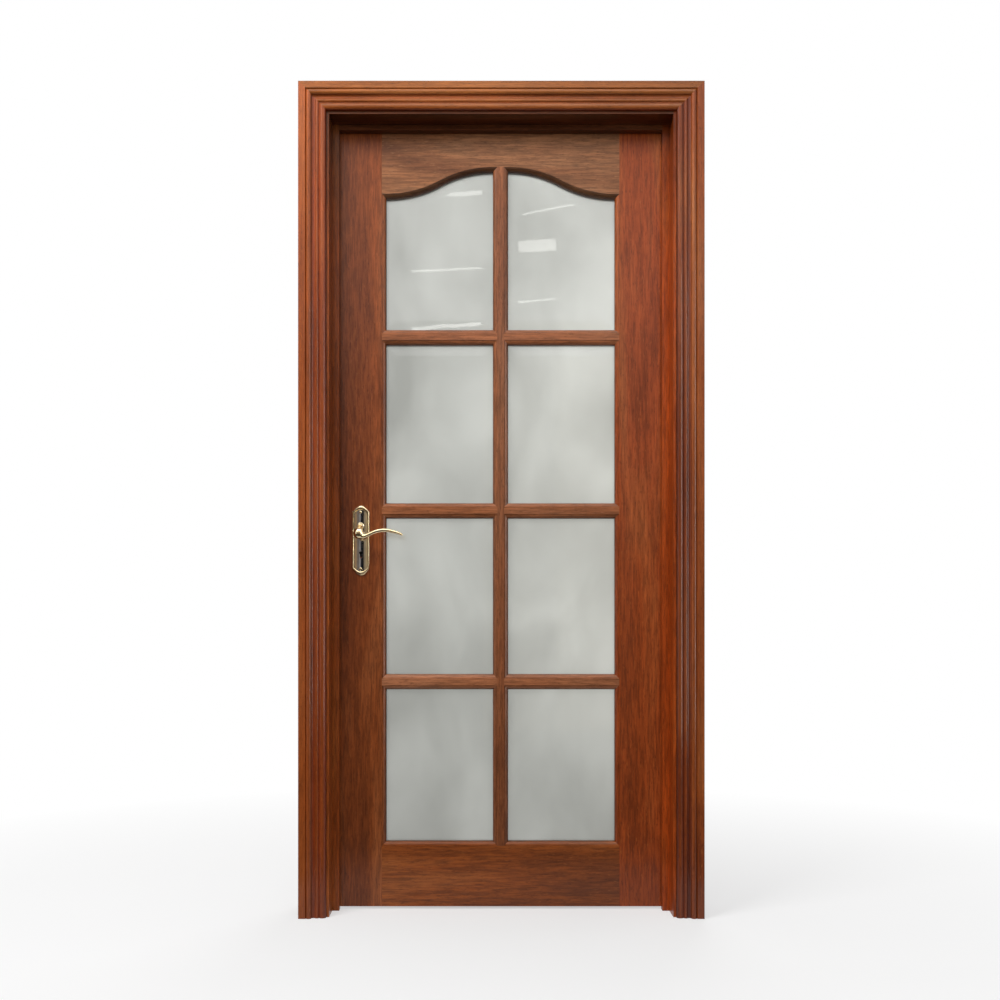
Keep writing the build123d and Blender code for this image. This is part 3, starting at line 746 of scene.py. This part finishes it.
# Thin tubes hang across the room; each runs from one end to the other, in X and Z, with its thickness.
tube_paint = glow("tube_light", strength=6.0)[0]
tube_y = -2.16
tubes = [
    ((-0.83, 2.325), (-0.52, 2.342), 0.009), ((-0.83, 1.975), (-0.52, 2.0), 0.016),
    ((-0.678, 2.672), (-0.516, 2.683), 0.02), ((-0.336, 2.584), (-0.107, 2.629), 0.009),
    ((-0.354, 2.436), (-0.183, 2.445), 0.05), ((-0.354, 2.191), (-0.183, 2.205), 0.009),
]
for number, (start, end, thickness) in enumerate(tubes, 1):
    run, climb = end[0] - start[0], end[1] - start[1]
    place = ((start[0] + end[0]) / 2, tube_y, (start[1] + end[1]) / 2)
    tilted = (math.pi / 2, -math.atan2(climb, run), 0.0)
    reflected_card(f"tube_{number}", place, (math.hypot(run, climb), thickness), tilted, tube_paint)

# Three bright cards are for sheen: a tall one at the right for the hinge side's mouldings, one high up
# at the left for the handle, and one overhead for whatever curves upwards. Their turns are in degrees.
for side, place, size, turn, strength in (
    ("right", (middle.x + 2.3, -1.9, 1.3), (0.5, 2.2), (90.0, 0.0, 50.0), 12.0),
    ("left", (middle.x - 1.5, -1.8, 2.7), (1.3, 1.0), (50.0, 0.0, -40.0), 2.0),
    ("overhead", (middle.x, -1.1, 3.1), (3.0, 1.6), (0.0, 0.0, 0.0), 3.0),
):
    turned = [math.radians(angle) for angle in turn]
    reflected_card(f"bright_card_{side}", place, size, turned, glow(f"card_light_{side}", strength)[0])


def soft_lamp(name, place, size, power, aim):
    lamp = bpy.data.lights.new(name, "AREA")
    lamp.shape = "RECTANGLE"
    lamp.size, lamp.size_y = size
    lamp.energy = power
    holder = bpy.data.objects.new(name, lamp)
    bpy.context.scene.collection.objects.link(holder)
    holder.location = place
    holder.rotation_mode = "QUATERNION"
    holder.rotation_quaternion = (Vector(aim) - Vector(place)).to_track_quat("-Z", "Y")
    holder.visible_glossy = False
    holder.visible_transmission = False


upper_door, door = (middle.x, 0.0, 1.3), (middle.x, 0.0, 1.2)
soft_lamp("key_lamp", (middle.x - 1.45, -1.75, 3.05), size=(1.3, 1.0), power=66.0, aim=upper_door)
soft_lamp("front_lamp", (middle.x + 0.2, -3.6, 2.2), size=(2.4, 1.6), power=38.0, aim=door)
soft_lamp("back_lamp", (middle.x + 0.8, 3.2, 2.6), size=(2.0, 1.6), power=60.0, aim=door)

# The camera stands about three metres in front of the casings, and looks level.
# Its lens is set so that one pixel of the picture is photo_scale metres at the front of the casings.
camera_x, camera_height, distance = -0.523, 0.75, 2.99
photo_scale, picture_width = 2.5265e-3, 1000
camera = bpy.data.cameras.new("camera")
eye = bpy.data.objects.new("camera", camera)
bpy.context.scene.collection.objects.link(eye)
eye.location = (camera_x, cad_box[0].y - distance, camera_height)
eye.rotation_euler = (math.pi / 2, 0.0, 0.0)
camera.sensor_width = 36.0
camera.lens = camera.sensor_width * distance / (picture_width * photo_scale)
camera.shift_x = 0.0196
camera.shift_y = 0.1222
bpy.context.scene.camera = eye
bpy.context.scene.view_settings.view_transform = "Standard"
